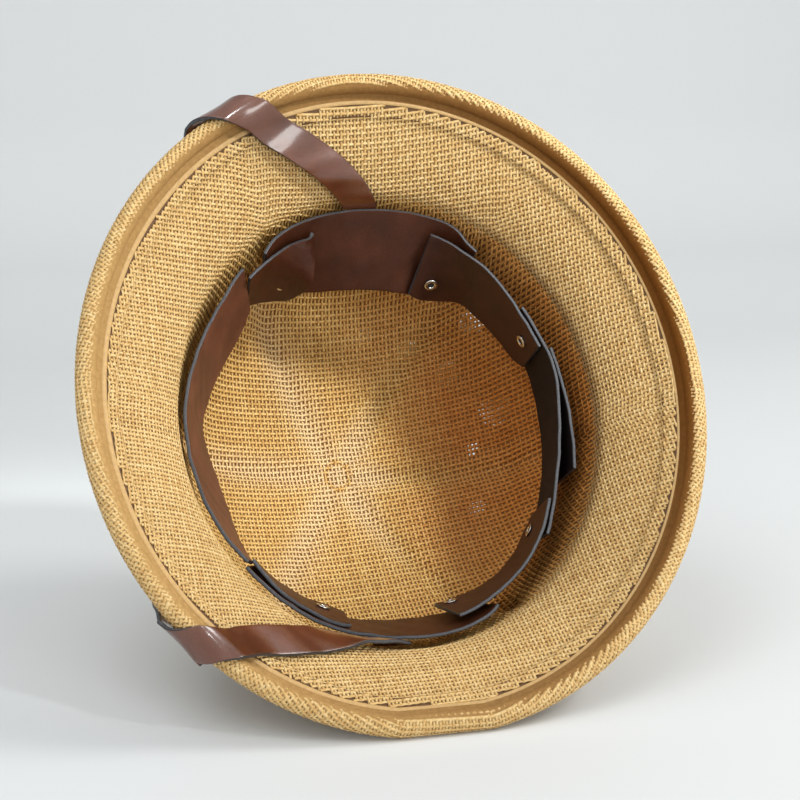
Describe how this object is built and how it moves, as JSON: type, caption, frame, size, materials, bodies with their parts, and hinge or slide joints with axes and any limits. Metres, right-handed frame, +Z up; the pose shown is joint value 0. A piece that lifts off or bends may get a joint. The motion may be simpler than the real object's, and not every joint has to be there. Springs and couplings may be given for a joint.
{
  "type": "straw safari hat",
  "caption": "Sun-helmet-shaped hat of open woven straw with a rolled brim edge, leather headband strips, eyelets and a chin strap, lying on its right side.",
  "frame": {"origin": "middle of the footprint, on the surface that the hat lies on", "axes": "+X from the front of the hat to its back, +Y from the opening side to the crown side, +Z up; the hat lies on its right side"},
  "size_m": [0.2848, 0.2284, 0.2678],
  "materials": {
    "straw": "open plain weave of straw thread",
    "straw_edge": "straw cloth rolled and glued",
    "tan_leather": "semi-gloss grained",
    "brown_leather": "semi-gloss grained",
    "dark_leather": "semi-gloss grained",
    "black_leather": "matte",
    "strap_leather": "glossy",
    "steel": "bright nickel"
  },
  "bodies": {
    "root": {"straw_shell": "straw", "rolled_edge": "straw_edge", "front_band": "tan_leather", "left_front_tab": "brown_leather", "left_bridge": "brown_leather", "left_back_strip": "dark_leather", "back_strip": "black_leather", "back_tail": "black_leather", "right_back_strip": "dark_leather", "right_bridge": "brown_leather", "right_front_tab": "brown_leather", "rivet_1": "steel", "rivet_2": "steel", "rivet_3": "steel", "rivet_4": "steel", "rivet_5": "steel", "rivet_6": "steel", "chin_strap": "strap_leather"}
  },
  "joints": []
}
